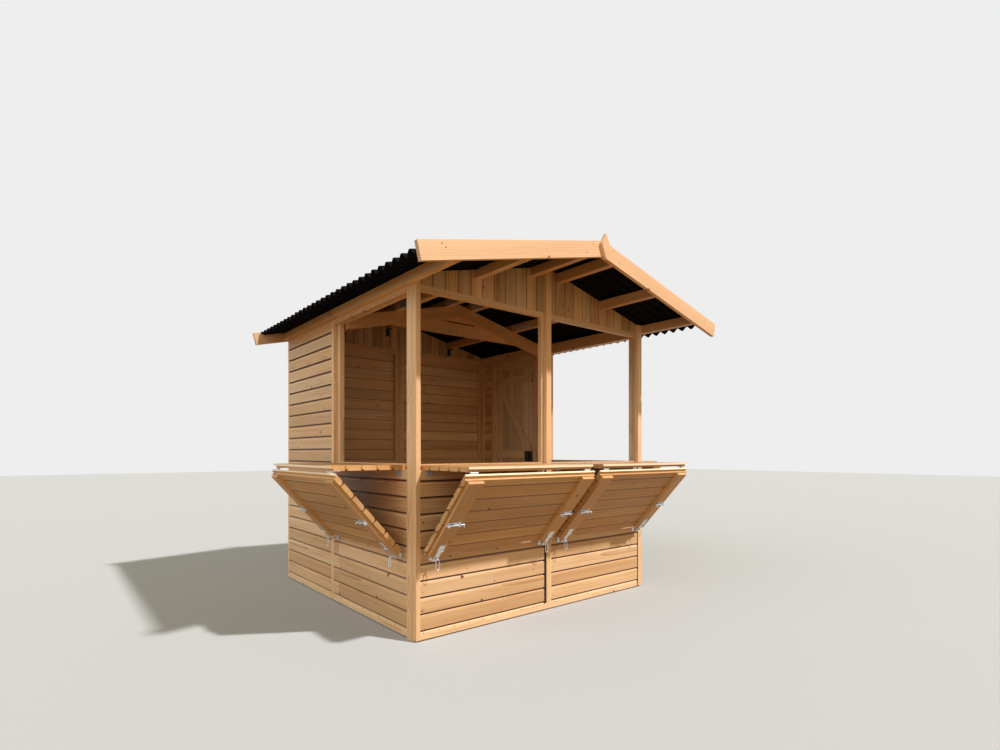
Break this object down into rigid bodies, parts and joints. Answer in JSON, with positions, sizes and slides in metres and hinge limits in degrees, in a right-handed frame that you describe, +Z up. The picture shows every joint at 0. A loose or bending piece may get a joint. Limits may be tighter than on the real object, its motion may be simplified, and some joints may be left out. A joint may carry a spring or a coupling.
{
  "type": "wooden market stall",
  "caption": "Timber stall with coved shiplap walls, fold-down counters round three sides, a side door and a low gabled roof of corrugated sheet.",
  "frame": {"origin": "on the ground at the middle of the plan of the walls", "axes": "+Z up, +X to the right of the serving front, +Y from the front to the rear"},
  "size_m": [2.9328, 2.616, 2.381],
  "materials": {
    "spruce": "planed spruce, clear finish",
    "floor_board": "planed boards",
    "treated_bearer": "sawn, pressure treated",
    "bitumen_sheet": "matt black corrugated bitumen fibre",
    "black_steel": "black powder coat",
    "galvanised_steel": "zinc plated"
  },
  "bodies": {
    "stall": {"corner_posts": "spruce", "counters": "spruce", "door_head_cladding": "spruce", "door_hinge_plates": "black_steel", "eave_purlins": "spruce", "finials": "spruce", "flap_battens": "spruce", "flap_bolts": "galvanised_steel", "flap_hasps": "galvanised_steel", "flap_hinges": "galvanised_steel", "flaps": "spruce", "floor_bearers": "treated_bearer", "floor_deck": "floor_board", "front_barge_boards": "spruce", "front_cladding": "spruce", "front_gable": "spruce", "front_rails": "spruce", "front_stiles": "spruce", "front_trims": "spruce", "hasp_staples": "galvanised_steel", "left_cladding": "spruce", "purlin_brackets": "black_steel", "purlin_plates": "galvanised_steel", "rear_barge_boards": "spruce", "rear_cladding": "spruce", "rear_gable": "spruce", "rear_rails": "spruce", "rear_stiles": "spruce", "rear_trims": "spruce", "ridge_cap": "bitumen_sheet", "right_cladding": "spruce", "roof_purlins": "spruce", "roof_sheet_left": "bitumen_sheet", "roof_sheet_right": "bitumen_sheet", "side_rails": "spruce", "side_stiles": "spruce", "side_trims": "spruce", "sill_hinges": "galvanised_steel", "truss_collar": "spruce", "truss_gusset": "spruce", "truss_rafters": "spruce"},
    "door": {"door_knob": "black_steel", "door_latch": "black_steel", "door_leaf": "spruce", "door_ledges": "spruce", "door_straps": "black_steel"}
  },
  "joints": [
    {"name": "door_hinge", "type": "hinge", "parent": "stall", "child": "door", "pos_m": [1.038, 0.74, 0], "axis": [0, 0, 1], "range_deg": [0, 100]}
  ]
}
